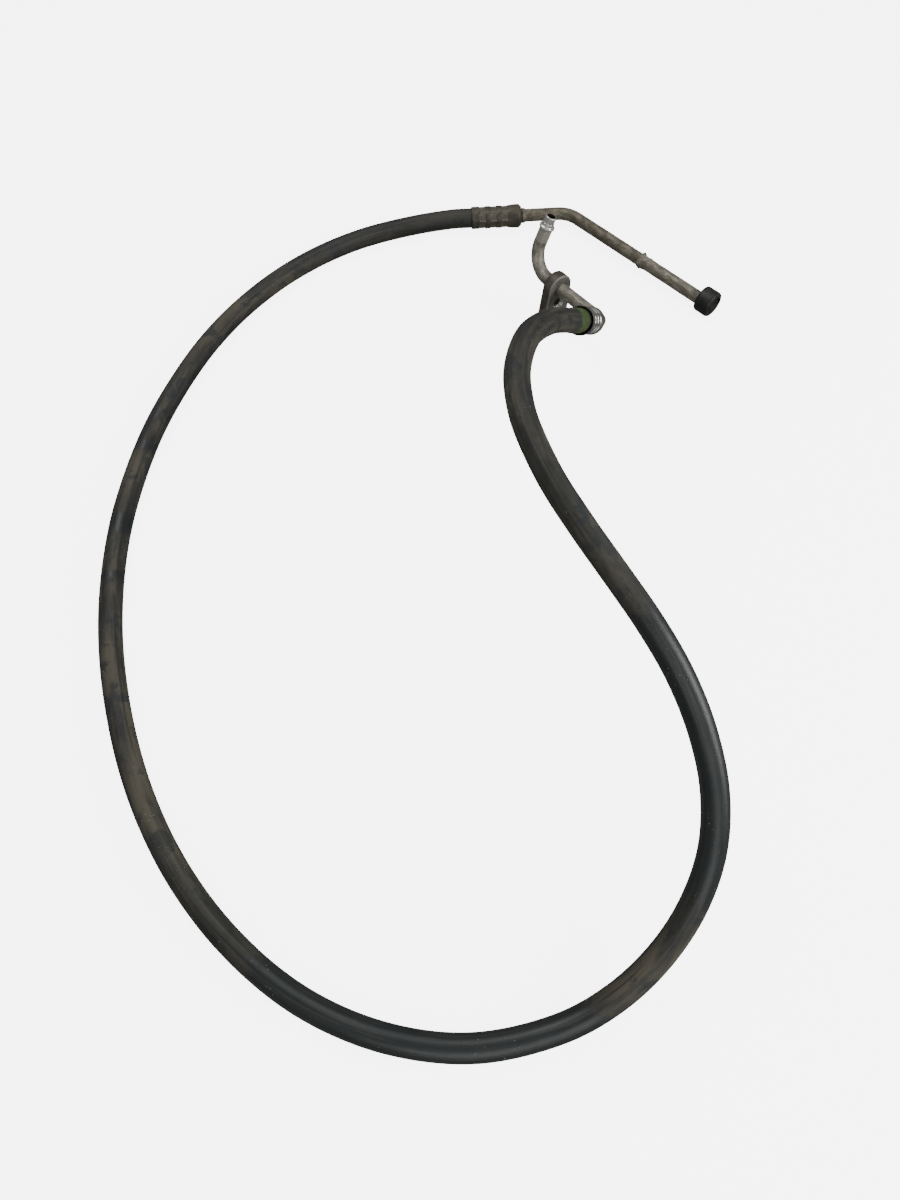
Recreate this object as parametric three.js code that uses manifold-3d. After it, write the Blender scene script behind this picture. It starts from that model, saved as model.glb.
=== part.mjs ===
// Air conditioning hose: a thick rubber hose with crimped ferrules and bent aluminium pipes.
// Millimetres, +Z up. The hose lies on the floor in one open loop and rises to its upright ferrule.
import * as THREE from 'three';
import { mergeVertices } from 'three/addons/utils/BufferGeometryUtils.js';
import Module from 'manifold-3d';

const wasm = await Module();
wasm.setup();

// Driving dimensions
const HOSE_OD = 24;
const HOSE_BORE = 15.5;
const PIPE_OD = 15.9;
const PIPE_WALL = 1.7;
const GAP = 0.3;

const FERRULE_LENGTH = 65;
const FERRULE_A_RIM_OD = 27.4;
const FERRULE_A_CRIMP_OD = 26.4;
const FERRULE_A_RIDGE_OD = 27.4;
const FERRULE_A_TAIL_OD = 29;
const FERRULE_B_RIM_OD = 30.4;
const FERRULE_B_CRIMP_OD = 27.6;
const FERRULE_B_RIDGE_OD = 28.8;
const FERRULE_B_TAIL_OD = 30.2;
const FERRULE_LIP = 1.2;
const FERRULE_BACK_WALL = 6;
const FERRULE_FLARE_DEPTH = 8;
const FERRULE_CHAMFER = 2.4;
const CRIMP_WIDTH = 7;
const CRIMP_FIRST = 14;
const CRIMP_PITCH = 14.5;
const CRIMP_COUNT = 3;

const HOSE_TO_BACK_WALL = 1;
const STEM_INSERTION = 50;
const STEM_COLLAR_OD = 18.6;
const STEM_COLLAR_LENGTH = 4.5;
const STEM_WALL = 1.4;

const SLEEVE_THICKNESS = 0.6;
const SLEEVE_SLACK = 0.5;
const SLEEVE_LENGTH = 30;
const SLEEVE_FROM_MOUTH = 10;

const PIPE_A_BEND_RADIUS = 32;
const JOINT_AFTER_BEND = 122;
const BEAD_OD = 17.4;
const BEAD_WIDTH = 3;

const CAP_OD = 32;
const CAP_LENGTH = 20.5;
const CAP_EDGE = 2.5;
const CAP_SOCKET_DEPTH = 14;
const CAP_RECESS_OUTER = 21;
const CAP_RECESS_INNER = 13;
const CAP_RECESS_DEPTH = 1.5;
const CAP_OFFSET = 2.8;

const PIPE_B_FIRST_RADIUS = 30;
const PIPE_B_SECOND_RADIUS = 28;

const PLATE_THICKNESS = 14.4;
const PLATE_LOBE_RADIUS = 16.6;
const PLATE_BELOW_PIPE = 49;
const PLATE_TAPER = 2.5;
const PLATE_CORNER = 6;
const PLATE_EDGE = 1.5;
const PLATE_BACK_EDGE = 2;
const PLATE_ROLL = 9;
const PLATE_FROM_CORNER = 57.9;
const BOLT_HOLE = 10;
const BOLT_SINK = 16.4;
const BOLT_BELOW_PIPE = 19.6;

const FITTING_COLLAR_OD = 18.6;
const FITTING_COLLAR_LENGTH = 3;
const FITTING_NECK_OD = 14.4;
const FITTING_NECK_LENGTH = 3.6;
const FITTING_GROOVE_OD = 11.6;
const FITTING_GROOVE_WIDTH = 2;
const FITTING_NOSE_OD = 13;
const FITTING_NOSE_LENGTH = 6.4;
const FITTING_BORE = 10.4;

const ROUND_SIDES = 24;
const PIPE_SIDES = 16;
const PIPE_BORE_SIDES = 10;
const HOSE_RINGS = 76;
const BEND_STEP = 14;

const point = (x, y, z) => new THREE.Vector3(x, y, z);

// Places of the two ferrule mouths and of the corners where the pipes' straight runs would meet
const MOUTH_A = point(41, 487.3, 14.4);
const CORNER_A = point(168.7, 497.9, 14.8);
const RUN_A_END = point(336.6, 329.8, 16);
const MOUTH_B = point(149, 179, 142);
const CORNER_B1 = point(189.2, 262, 59);
const CORNER_B2 = point(111.8, 366.7, 45.3);
const TIP_B = point(131.7, 377.5, 108.5);

// Centre line of the hose between its straight ends, chosen by hand
const HOSE_ROUTE = [
  point(-30.5, 476, 12.5),
  point(-105.5, 447.5, 12),
  point(-172.5, 402, 12),
  point(-228.5, 342.5, 12),
  point(-272.5, 272.5, 12),
  point(-303.5, 196, 12),
  point(-324, 118, 12),
  point(-335.5, 5, 12),
  point(-327, -104, 12),
  point(-303, -200, 12),
  point(-267, -287, 12),
  point(-221, -360, 12),
  point(-166, -419, 12),
  point(-103, -463.5, 12),
  point(-33, -490, 12.1),
  point(40, -497, 12.8),
  point(111, -482, 17),
  point(155, -460, 28),
  point(191, -430, 44),
  point(217, -395, 65),
  point(232, -355, 91),
  point(233, -313, 117),
  point(222, -272, 143),
  point(203, -233, 167),
  point(178.5, -197.5, 188),
  point(151.5, -161.5, 204),
  point(123.5, -124, 219),
  point(98, -83, 231),
  point(78.5, -35.5, 241),
  point(73.5, -7, 244),
  point(73, 15, 244),
  point(77, 40, 242),
  point(86.5, 70, 234),
  point(107.5, 107, 212),
];

const HOSE_STRAIGHT_A = 8;
const HOSE_STRAIGHT_B = 22;
const HOSE_LEAD = 14;

const rubber = () => new THREE.MeshStandardMaterial({ color: 0x3c3b37, roughness: 0.75, metalness: 0 });
const dullAluminium = () => new THREE.MeshStandardMaterial({ color: 0x6b675d, roughness: 0.55, metalness: 0.8 });
const brightAluminium = () => new THREE.MeshStandardMaterial({ color: 0xc9c8c2, roughness: 0.25, metalness: 1 });
const greenPlastic = () => new THREE.MeshStandardMaterial({ color: 0x485c32, roughness: 0.7, metalness: 0 });
const capPlastic = () => new THREE.MeshStandardMaterial({ color: 0x262624, roughness: 0.6, metalness: 0 });

const direction = (from, to) => to.clone().sub(from).normalize();
const along = (from, axis, distance) => from.clone().addScaledVector(axis, distance);

// A hole's corner radius, so that its flat sides stay clear of the round piece inside it
const holeRadius = (radius, sides) => (radius + GAP) / Math.cos(Math.PI / sides);

function circlePoints(radius, sides) {
  return Array.from({ length: sides }, (_, i) => {
    const angle = (i * 2 * Math.PI) / sides;
    return new THREE.Vector2(radius * Math.cos(angle), radius * Math.sin(angle));
  });
}

// The bore's flat sides lie at its true radius, so a round piece inside it stays clear
function ringShape(outerRadius, innerRadius, sides, boreSides) {
  const shape = new THREE.Shape(circlePoints(outerRadius, sides));
  const boreCorner = innerRadius / Math.cos(Math.PI / boreSides);
  shape.holes.push(new THREE.Path(circlePoints(boreCorner, boreSides)));
  return shape;
}

// A centre line whose rings stand only where they are asked for
class RingPath extends THREE.Curve {
  constructor() {
    super();
    this.centres = [];
    this.tangents = [];
  }

  add(centre, tangent) {
    this.centres.push(centre.clone());
    this.tangents.push(tangent.clone().normalize());
  }

  getPointAt(u, target = new THREE.Vector3()) {
    return target.copy(this.centres[Math.round(u * (this.centres.length - 1))]);
  }

  getTangentAt(u, target = new THREE.Vector3()) {
    return target.copy(this.tangents[Math.round(u * (this.tangents.length - 1))]);
  }
}

function sweep(shape, path) {
  return new THREE.ExtrudeGeometry(shape, {
    steps: path.centres.length - 1,
    extrudePath: path,
    bevelEnabled: false,
  });
}

// Adds the arc that rounds one corner of a bent pipe
function addBend(path, before, corner, after, radius) {
  const incoming = direction(before, corner);
  const outgoing = direction(corner, after);
  const turn = incoming.angleTo(outgoing);
  const start = along(corner, incoming, -radius * Math.tan(turn / 2));
  const inward = outgoing.clone().addScaledVector(incoming, -outgoing.dot(incoming)).normalize();
  const centre = along(start, inward, radius);
  const steps = Math.ceil(THREE.MathUtils.radToDeg(turn) / BEND_STEP);
  for (let i = 0; i <= steps; i += 1) {
    const angle = (turn * i) / steps;
    const place = along(centre, inward, -radius * Math.cos(angle));
    place.addScaledVector(incoming, radius * Math.sin(angle));
    const heading = incoming.clone().multiplyScalar(Math.cos(angle));
    heading.addScaledVector(inward, Math.sin(angle));
    path.add(place, heading);
  }
}

function toManifold(geometry) {
  const bare = geometry.clone();
  bare.deleteAttribute('normal');
  bare.deleteAttribute('uv');
  const merged = mergeVertices(bare);
  return new wasm.Manifold(new wasm.Mesh({
    numProp: 3,
    vertProperties: new Float32Array(merged.attributes.position.array),
    triVerts: new Uint32Array(merged.index.array),
  }));
}

function toGeometry(solid) {
  const { vertProperties, triVerts } = solid.getMesh();
  const geometry = new THREE.BufferGeometry();
  geometry.setAttribute('position', new THREE.BufferAttribute(new Float32Array(vertProperties), 3));
  geometry.setIndex(new THREE.BufferAttribute(new Uint32Array(triVerts), 1));
  geometry.computeVertexNormals();
  return geometry;
}

function named(name, geometry, material) {
  const mesh = new THREE.Mesh(geometry, material);
  mesh.name = name;
  return mesh;
}

// Turns a profile of [radius, height] pairs about its own axis, which is +Y before it is placed
function turned(profile, sides = ROUND_SIDES) {
  return new THREE.LatheGeometry(profile.map(([r, y]) => new THREE.Vector2(r, y)), sides);
}

const turnToAxis = (axis) => new THREE.Quaternion().setFromUnitVectors(point(0, 1, 0), axis);

function placeOnAxis(mesh, origin, axis) {
  mesh.position.copy(origin);
  mesh.quaternion.copy(turnToAxis(axis));
  return mesh;
}

const axisA = direction(MOUTH_A, CORNER_A);
const axisB = direction(MOUTH_B, CORNER_B1);
const baseA = along(MOUTH_A, axisA, FERRULE_LENGTH);
const baseB = along(MOUTH_B, axisB, FERRULE_LENGTH);
const hoseRadius = HOSE_OD / 2;
const pipeRadius = PIPE_OD / 2;
const pipeBore = pipeRadius - PIPE_WALL;
const stemRadius = HOSE_BORE / 2 - GAP;
const stemBore = stemRadius - STEM_WALL;

function hosePath() {
  const insertion = FERRULE_LENGTH - FERRULE_BACK_WALL - HOSE_TO_BACK_WALL;
  const startA = along(MOUTH_A, axisA, insertion);
  const endA = along(MOUTH_A, axisA, -HOSE_STRAIGHT_A);
  const endB = along(MOUTH_B, axisB, -HOSE_STRAIGHT_B);
  const startB = along(MOUTH_B, axisB, insertion);
  const middle = new THREE.CatmullRomCurve3([
    endA,
    along(endA, axisA, -HOSE_LEAD),
    ...HOSE_ROUTE,
    along(endB, axisB, -HOSE_LEAD),
    endB,
  ]);
  middle.arcLengthDivisions = 1000;
  const path = new RingPath();
  path.add(startA, axisA.clone().negate());
  for (let i = 0; i <= HOSE_RINGS; i += 1) {
    path.add(middle.getPointAt(i / HOSE_RINGS), middle.getTangentAt(i / HOSE_RINGS));
  }
  path.add(startB, axisB);
  return path;
}

function makeHose() {
  const shape = ringShape(hoseRadius, HOSE_BORE / 2, PIPE_SIDES, PIPE_BORE_SIDES);
  return named('hose', sweep(shape, hosePath()), rubber());
}

// A crimped ferrule: a cup whose mouth takes the hose and whose back wall takes the stem.
// The mouth is bored to mouthRadius for the depth of the flare.
function makeFerrule(name, mouth, axis, [rimOd, crimpOd, ridgeOd, tailOd], mouthRadius) {
  const inner = holeRadius(hoseRadius, ROUND_SIDES);
  const outer = [[rimOd / 2, 0]];
  for (let i = 0; i < CRIMP_COUNT; i += 1) {
    const middle = CRIMP_FIRST + i * CRIMP_PITCH;
    const before = i === 0 ? rimOd / 2 : ridgeOd / 2;
    const after = i === CRIMP_COUNT - 1 ? tailOd / 2 : ridgeOd / 2;
    outer.push([before, middle - CRIMP_WIDTH / 2 - 1]);
    outer.push([crimpOd / 2, middle - CRIMP_WIDTH / 2]);
    outer.push([crimpOd / 2, middle + CRIMP_WIDTH / 2]);
    outer.push([after, middle + CRIMP_WIDTH / 2 + 1]);
  }
  const profile = [
    ...outer,
    [tailOd / 2, FERRULE_LENGTH - FERRULE_CHAMFER],
    [tailOd / 2 - FERRULE_CHAMFER, FERRULE_LENGTH],
    [holeRadius(stemRadius, ROUND_SIDES), FERRULE_LENGTH],
    [holeRadius(stemRadius, ROUND_SIDES), FERRULE_LENGTH - FERRULE_BACK_WALL],
    [inner, FERRULE_LENGTH - FERRULE_BACK_WALL],
    [inner, FERRULE_FLARE_DEPTH],
    [mouthRadius, FERRULE_FLARE_DEPTH - 1],
    [mouthRadius, 0],
    [rimOd / 2, 0],
  ];
  return placeOnAxis(named(name, turned(profile), dullAluminium()), mouth, axis);
}

// Ferrule A is pressed tight from its rim on
function ferruleA() {
  const outside = [FERRULE_A_RIM_OD, FERRULE_A_CRIMP_OD, FERRULE_A_RIDGE_OD, FERRULE_A_TAIL_OD];
  return makeFerrule('ferrule_a', MOUTH_A, axisA, outside, holeRadius(hoseRadius, ROUND_SIDES));
}

// Ferrule B keeps a flared mouth that stands clear of the hose
function ferruleB() {
  const outside = [FERRULE_B_RIM_OD, FERRULE_B_CRIMP_OD, FERRULE_B_RIDGE_OD, FERRULE_B_TAIL_OD];
  return makeFerrule('ferrule_b', MOUTH_B, axisB, outside, FERRULE_B_RIM_OD / 2 - FERRULE_LIP);
}

// The stem that reaches through the ferrule into the hose, with the collar that stops the ferrule
function stemSolid(base, axis) {
  const profile = [
    [stemBore, -STEM_INSERTION],
    [stemRadius, -STEM_INSERTION],
    [stemRadius, GAP],
    [STEM_COLLAR_OD / 2, GAP],
    [STEM_COLLAR_OD / 2, GAP + STEM_COLLAR_LENGTH],
    [stemRadius, GAP + STEM_COLLAR_LENGTH],
    [stemBore, GAP + STEM_COLLAR_LENGTH],
    [stemBore, -STEM_INSERTION],
  ];
  const geometry = turned(profile);
  geometry.applyMatrix4(new THREE.Matrix4().compose(base, turnToAxis(axis), point(1, 1, 1)));
  return toManifold(geometry);
}

function pipeTube(path) {
  return toManifold(sweep(ringShape(pipeRadius, pipeBore, PIPE_SIDES, PIPE_BORE_SIDES), path));
}

const collarSeat = GAP + STEM_COLLAR_LENGTH / 2;
const runA = direction(CORNER_A, RUN_A_END);
const jointA = along(CORNER_A, runA, JOINT_AFTER_BEND);

function makePipeA() {
  const path = new RingPath();
  path.add(along(baseA, axisA, collarSeat), axisA);
  addBend(path, baseA, CORNER_A, RUN_A_END, PIPE_A_BEND_RADIUS);
  path.add(along(jointA, runA, -GAP), runA);
  return named('pipe_a', toGeometry(pipeTube(path).add(stemSolid(baseA, axisA))), dullAluminium());
}

// The straight end of pipe A, with the braze bead where it meets the bent piece
function makePipeATail() {
  const socketEnd = CORNER_A.distanceTo(RUN_A_END) - CAP_LENGTH + CAP_SOCKET_DEPTH - GAP;
  const length = socketEnd - JOINT_AFTER_BEND;
  const profile = [
    [pipeBore, 0],
    [BEAD_OD / 2 - 0.6, 0],
    [BEAD_OD / 2, BEAD_WIDTH / 3],
    [BEAD_OD / 2 - 0.3, (BEAD_WIDTH * 2) / 3],
    [pipeRadius, BEAD_WIDTH],
    [pipeRadius, length],
    [pipeBore, length],
    [pipeBore, 0],
  ];
  return placeOnAxis(named('pipe_a_tail', turned(profile, PIPE_SIDES), dullAluminium()), jointA, runA);
}

// The middle of the cap's end face, which lies a little to one side of the pipe's axis
const capSide = point(0, 0, 1).cross(runA).normalize();
const capEnd = along(RUN_A_END, capSide, CAP_OFFSET);

function onAxis(geometry, origin, axis) {
  return geometry.applyMatrix4(new THREE.Matrix4().compose(origin, turnToAxis(axis), point(1, 1, 1)));
}

// The push-on cap, a drum with a sunk ring in its end and a blind socket for the pipe
function makeEndCap() {
  const socketRadius = holeRadius(pipeRadius, ROUND_SIDES);
  const recessFloor = CAP_LENGTH - CAP_RECESS_DEPTH;
  const drum = [
    [0, 0],
    [CAP_OD / 2 - CAP_EDGE, 0],
    [CAP_OD / 2 - CAP_EDGE * 0.3, CAP_EDGE * 0.3],
    [CAP_OD / 2, CAP_EDGE],
    [CAP_OD / 2, CAP_LENGTH - CAP_EDGE],
    [CAP_OD / 2 - CAP_EDGE * 0.3, CAP_LENGTH - CAP_EDGE * 0.3],
    [CAP_OD / 2 - CAP_EDGE, CAP_LENGTH],
    [CAP_RECESS_OUTER / 2, CAP_LENGTH],
    [CAP_RECESS_OUTER / 2, recessFloor],
    [CAP_RECESS_INNER / 2, recessFloor],
    [CAP_RECESS_INNER / 2, CAP_LENGTH],
    [0, CAP_LENGTH],
  ];
  const socket = [
    [0, -GAP],
    [socketRadius, -GAP],
    [socketRadius, CAP_SOCKET_DEPTH],
    [0, CAP_SOCKET_DEPTH],
  ];
  const body = toManifold(onAxis(turned(drum), along(capEnd, runA, -CAP_LENGTH), runA));
  const hole = toManifold(onAxis(turned(socket), along(RUN_A_END, runA, -CAP_LENGTH), runA));
  return named('end_cap', toGeometry(body.subtract(hole)), capPlastic());
}

// A thin green sleeve on the hose, just outside the flared mouth of ferrule B
function makeMarkerSleeve() {
  const inner = holeRadius(hoseRadius + SLEEVE_SLACK, ROUND_SIDES);
  const outer = inner + SLEEVE_THICKNESS;
  const farEnd = -SLEEVE_FROM_MOUTH - SLEEVE_LENGTH;
  const profile = [
    [inner, farEnd],
    [outer, farEnd],
    [outer, -SLEEVE_FROM_MOUTH],
    [inner, -SLEEVE_FROM_MOUTH],
    [inner, farEnd],
  ];
  return placeOnAxis(named('marker_sleeve', turned(profile), greenPlastic()), MOUTH_B, axisB);
}

const fittingLength = FITTING_COLLAR_LENGTH + FITTING_NECK_LENGTH + FITTING_GROOVE_WIDTH + FITTING_NOSE_LENGTH;
const tipAxis = direction(CORNER_B2, TIP_B);
const fittingFoot = along(TIP_B, tipAxis, -fittingLength);

function makePipeB() {
  const path = new RingPath();
  path.add(along(baseB, axisB, collarSeat), axisB);
  addBend(path, baseB, CORNER_B1, CORNER_B2, PIPE_B_FIRST_RADIUS);
  addBend(path, CORNER_B1, CORNER_B2, TIP_B, PIPE_B_SECOND_RADIUS);
  path.add(along(fittingFoot, tipAxis, -GAP), tipAxis);
  return named('pipe_b', toGeometry(pipeTube(path).add(stemSolid(baseB, axisB))), dullAluminium());
}

// The machined spigot at the top of pipe B: collar, neck, ring groove and nose round one bore
function makeEndFitting() {
  const neckTop = FITTING_COLLAR_LENGTH + FITTING_NECK_LENGTH;
  const grooveTop = neckTop + FITTING_GROOVE_WIDTH;
  const collarEdge = 0.6;
  const profile = [
    [FITTING_BORE / 2, 0],
    [FITTING_COLLAR_OD / 2 - collarEdge, 0],
    [FITTING_COLLAR_OD / 2, collarEdge],
    [FITTING_COLLAR_OD / 2, FITTING_COLLAR_LENGTH - collarEdge],
    [FITTING_COLLAR_OD / 2 - collarEdge, FITTING_COLLAR_LENGTH],
    [FITTING_NECK_OD / 2 + collarEdge, FITTING_COLLAR_LENGTH],
    [FITTING_NECK_OD / 2, FITTING_COLLAR_LENGTH + collarEdge],
    [FITTING_NECK_OD / 2, neckTop],
    [FITTING_GROOVE_OD / 2, neckTop],
    [FITTING_GROOVE_OD / 2, grooveTop],
    [FITTING_NOSE_OD / 2, grooveTop],
    [FITTING_NOSE_OD / 2, fittingLength - collarEdge],
    [FITTING_NOSE_OD / 2 - collarEdge, fittingLength],
    [FITTING_BORE / 2, fittingLength],
    [FITTING_BORE / 2, 0],
  ];
  return placeOnAxis(named('end_fitting', turned(profile), brightAluminium()), fittingFoot, tipAxis);
}

// The plate's outline across the pipe: a round lobe above and a body that widens towards its foot
function plateOutline(withHoles) {
  const taper = THREE.MathUtils.degToRad(PLATE_TAPER);
  const footY = -PLATE_BELOW_PIPE;
  const tangentX = PLATE_LOBE_RADIUS * Math.cos(taper);
  const tangentY = PLATE_LOBE_RADIUS * Math.sin(taper);
  const cornerY = footY + PLATE_CORNER;
  const cornerX = tangentX + (tangentY - cornerY) * Math.tan(taper);
  const shape = new THREE.Shape();
  shape.moveTo(tangentX, tangentY);
  shape.absarc(0, 0, PLATE_LOBE_RADIUS, taper, Math.PI - taper, false);
  shape.lineTo(-cornerX, cornerY);
  shape.absarc(-cornerX + PLATE_CORNER, cornerY, PLATE_CORNER, Math.PI, Math.PI * 1.5, false);
  shape.absarc(cornerX - PLATE_CORNER, cornerY, PLATE_CORNER, Math.PI * 1.5, Math.PI * 2, false);
  shape.closePath();
  if (!withHoles) {
    return shape;
  }
  const pipeHole = circlePoints(holeRadius(pipeRadius, PIPE_SIDES), PIPE_SIDES);
  shape.holes.push(new THREE.Path(pipeHole));
  const boltHole = circlePoints(BOLT_HOLE / 2, PIPE_SIDES);
  boltHole.forEach((corner) => corner.setY(corner.y - BOLT_BELOW_PIPE));
  shape.holes.push(new THREE.Path(boltHole));
  return shape;
}

// The 45 degree cone that opens the bolt hole at the plate's front face
function boltSink() {
  const depth = (BOLT_SINK - BOLT_HOLE) / 2;
  const beyond = 1;
  const cone = turned([
    [0, -depth],
    [BOLT_HOLE / 2, -depth],
    [BOLT_SINK / 2 + beyond, beyond],
    [0, beyond],
  ], PIPE_SIDES);
  cone.rotateX(Math.PI / 2);
  cone.translate(0, -BOLT_BELOW_PIPE, 0);
  return cone;
}

// A slab whose back face lies one plate thickness behind z = 0, with its edges broken
function plateSlab(outline, thickness, edge) {
  const slab = new THREE.ExtrudeGeometry(outline, {
    depth: thickness - 2 * edge,
    bevelThickness: edge,
    bevelSize: edge,
    bevelOffset: -edge,
    bevelSegments: 1,
    curveSegments: 12,
  });
  slab.translate(0, 0, edge - PLATE_THICKNESS);
  return toManifold(slab);
}

// The front edge is lightly broken, and the back edge, as cast, is broken more
function makeFlangePlate() {
  const machined = plateSlab(plateOutline(true), PLATE_THICKNESS, PLATE_EDGE);
  const cast = plateSlab(plateOutline(false), PLATE_THICKNESS + 2 * PLATE_BACK_EDGE, PLATE_BACK_EDGE);
  const solid = machined.intersect(cast).subtract(toManifold(boltSink()));
  const front = direction(CORNER_B2, CORNER_B1);
  const upright = point(0, 0, 1).addScaledVector(front, -front.z).normalize();
  const sideways = upright.clone().cross(front);
  const roll = new THREE.Quaternion().setFromAxisAngle(point(0, 0, 1), THREE.MathUtils.degToRad(-PLATE_ROLL));
  const plate = named('flange_plate', toGeometry(solid), dullAluminium());
  const basis = new THREE.Matrix4().makeBasis(sideways, upright, front);
  plate.position.copy(along(CORNER_B2, front, PLATE_FROM_CORNER));
  plate.quaternion.setFromRotationMatrix(basis).multiply(roll);
  return plate;
}

const group = new THREE.Group();
group.add(
  makeHose(),
  ferruleA(),
  makePipeA(),
  makePipeATail(),
  makeEndCap(),
  ferruleB(),
  makeMarkerSleeve(),
  makePipeB(),
  makeEndFitting(),
  makeFlangePlate(),
);

// The origin is the middle of the foot of the whole part's box
const box = new THREE.Box3().setFromObject(group, true);
const middle = box.getCenter(new THREE.Vector3());
group.position.set(-middle.x, -middle.y, -box.min.z);

export default group;
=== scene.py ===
# %% [markdown]
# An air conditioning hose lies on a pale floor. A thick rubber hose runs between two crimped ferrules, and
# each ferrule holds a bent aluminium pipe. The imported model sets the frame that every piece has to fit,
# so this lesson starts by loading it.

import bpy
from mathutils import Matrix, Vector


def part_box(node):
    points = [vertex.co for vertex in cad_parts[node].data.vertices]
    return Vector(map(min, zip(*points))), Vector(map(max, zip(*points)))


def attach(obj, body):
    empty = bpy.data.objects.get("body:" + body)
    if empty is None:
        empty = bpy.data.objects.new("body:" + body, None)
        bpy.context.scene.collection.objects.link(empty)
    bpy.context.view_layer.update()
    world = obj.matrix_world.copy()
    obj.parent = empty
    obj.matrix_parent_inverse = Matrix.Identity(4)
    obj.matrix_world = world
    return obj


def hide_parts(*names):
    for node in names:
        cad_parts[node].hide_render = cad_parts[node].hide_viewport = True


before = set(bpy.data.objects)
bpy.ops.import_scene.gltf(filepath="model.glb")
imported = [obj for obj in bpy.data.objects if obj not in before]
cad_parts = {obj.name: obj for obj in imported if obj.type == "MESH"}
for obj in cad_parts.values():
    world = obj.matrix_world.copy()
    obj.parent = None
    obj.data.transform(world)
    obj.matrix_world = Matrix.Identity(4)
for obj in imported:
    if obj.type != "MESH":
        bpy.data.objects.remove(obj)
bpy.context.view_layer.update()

# %% [markdown]
# Everything is drawn by a few mesh builders, so the imports are short. Lengths below are in
# metres, because Blender works in them.

# %% Imports and units
import math

import bpy
from mathutils import Vector, noise

MM = 0.001
TURN = 2.0 * math.pi


def mm(*values):
    """A point given in millimetres, as a vector in metres."""
    return Vector(values) * MM


# %% [markdown]
# The pieces' places were worked out with the camera's foot near the origin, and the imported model
# is centred on its own box. The end cap is a turned piece, so the middle of its box is a point
# that both know, and the difference is the shift between the two. The cap sits a little to one
# side of the pipe that it closes.

# %% Places of the fittings
def unit(start, end):
    return (end - start).normalized()


CAP_LENGTH = 20.5 * MM
CAP_OFFSET = 2.8 * MM
RUN_A_END = mm(336.6, 329.8, 16.0)
CORNER_A = mm(168.7, 497.9, 14.8)
RUN_A = unit(CORNER_A, RUN_A_END)
CAP_END = RUN_A_END + Vector((0, 0, 1)).cross(RUN_A).normalized() * CAP_OFFSET
cap_low, cap_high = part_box("end_cap")
SHIFT = (Vector(cap_low) + Vector(cap_high)) / 2 - (CAP_END - RUN_A * CAP_LENGTH / 2)
print("shift of the packed model, mm", [round(x / MM, 2) for x in SHIFT])


def place(x, y, z):
    """A point of the working drawing, in millimetres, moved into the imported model's frame."""
    return mm(x, y, z) + SHIFT


CAP_END = CAP_END + SHIFT
RUN_A_END = RUN_A_END + SHIFT
CORNER_A = CORNER_A + SHIFT
MOUTH_A = place(41.0, 487.3, 14.4)
MOUTH_B = place(149.0, 179.0, 142.0)
CORNER_B1 = place(189.2, 262.0, 59.0)
CORNER_B2 = place(111.8, 366.7, 45.3)
TIP_B = place(131.7, 377.5, 108.5)
AXIS_A = unit(MOUTH_A, CORNER_A)
AXIS_B = unit(MOUTH_B, CORNER_B1)
TIP_AXIS = unit(CORNER_B2, TIP_B)

# %% [markdown]
# The camera comes first. It stands where the photographer stood, looking down at the hose at
# about sixty degrees, and its lens takes in the whole loop.

# %% Camera
SENSOR_WIDTH = 36.0
FOCAL_LENGTH = 28.5
NEAREST = 0.05
CAMERA_PLACE = place(17.0, -547.0, 867.1)
CAMERA_TILT = math.radians(28.587)
CAMERA_LEAN = math.radians(-0.223)
CAMERA_TURN = math.radians(0.41)

scene = bpy.context.scene
camera_data = bpy.data.cameras.new("camera")
camera_data.sensor_width = SENSOR_WIDTH
camera_data.lens = FOCAL_LENGTH
camera_data.clip_start = NEAREST
camera = bpy.data.objects.new("camera", camera_data)
camera.location = CAMERA_PLACE
camera.rotation_euler = (CAMERA_TILT, CAMERA_LEAN, CAMERA_TURN)
scene.collection.objects.link(camera)
scene.camera = camera
print("camera at", [round(x, 3) for x in camera.location])

# %% [markdown]
# The hose is one free piece of rubber. It lies on the floor round the loop, climbs on its right and turns
# down into the upright ferrule. Its centre line starts as a chain of listed points, which is easier to
# change than a drawn curve: move one point and the rest stay.

# %% Route of the hose
ROUTE = [
    (-0.0305, 0.476, 0.0125),
    (-0.1055, 0.4475, 0.012),
    (-0.1725, 0.402, 0.012),
    (-0.2285, 0.3425, 0.012),
    (-0.2725, 0.2725, 0.012),
    (-0.3035, 0.196, 0.012),
    (-0.324, 0.118, 0.012),
    (-0.3355, 0.005, 0.012),
    (-0.327, -0.104, 0.012),
    (-0.303, -0.200, 0.012),
    (-0.267, -0.287, 0.012),
    (-0.221, -0.360, 0.012),
    (-0.166, -0.419, 0.012),
    (-0.103, -0.4635, 0.012),
    (-0.033, -0.490, 0.0121),
    (0.040, -0.497, 0.0128),
    (0.111, -0.482, 0.017),
    (0.155, -0.460, 0.028),
    (0.191, -0.430, 0.044),
    (0.217, -0.395, 0.065),
    (0.232, -0.355, 0.091),
    (0.233, -0.313, 0.117),
    (0.222, -0.272, 0.143),
    (0.203, -0.233, 0.167),
    (0.1785, -0.1975, 0.188),
    (0.1515, -0.1615, 0.204),
    (0.1235, -0.124, 0.219),
    (0.098, -0.083, 0.231),
    (0.0785, -0.0355, 0.241),
    (0.0735, -0.007, 0.244),
    (0.073, 0.015, 0.244),
    (0.077, 0.040, 0.242),
    (0.0865, 0.07, 0.234),
    (0.1075, 0.107, 0.212),
]
print("route of the hose", len(ROUTE), "points")
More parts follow.
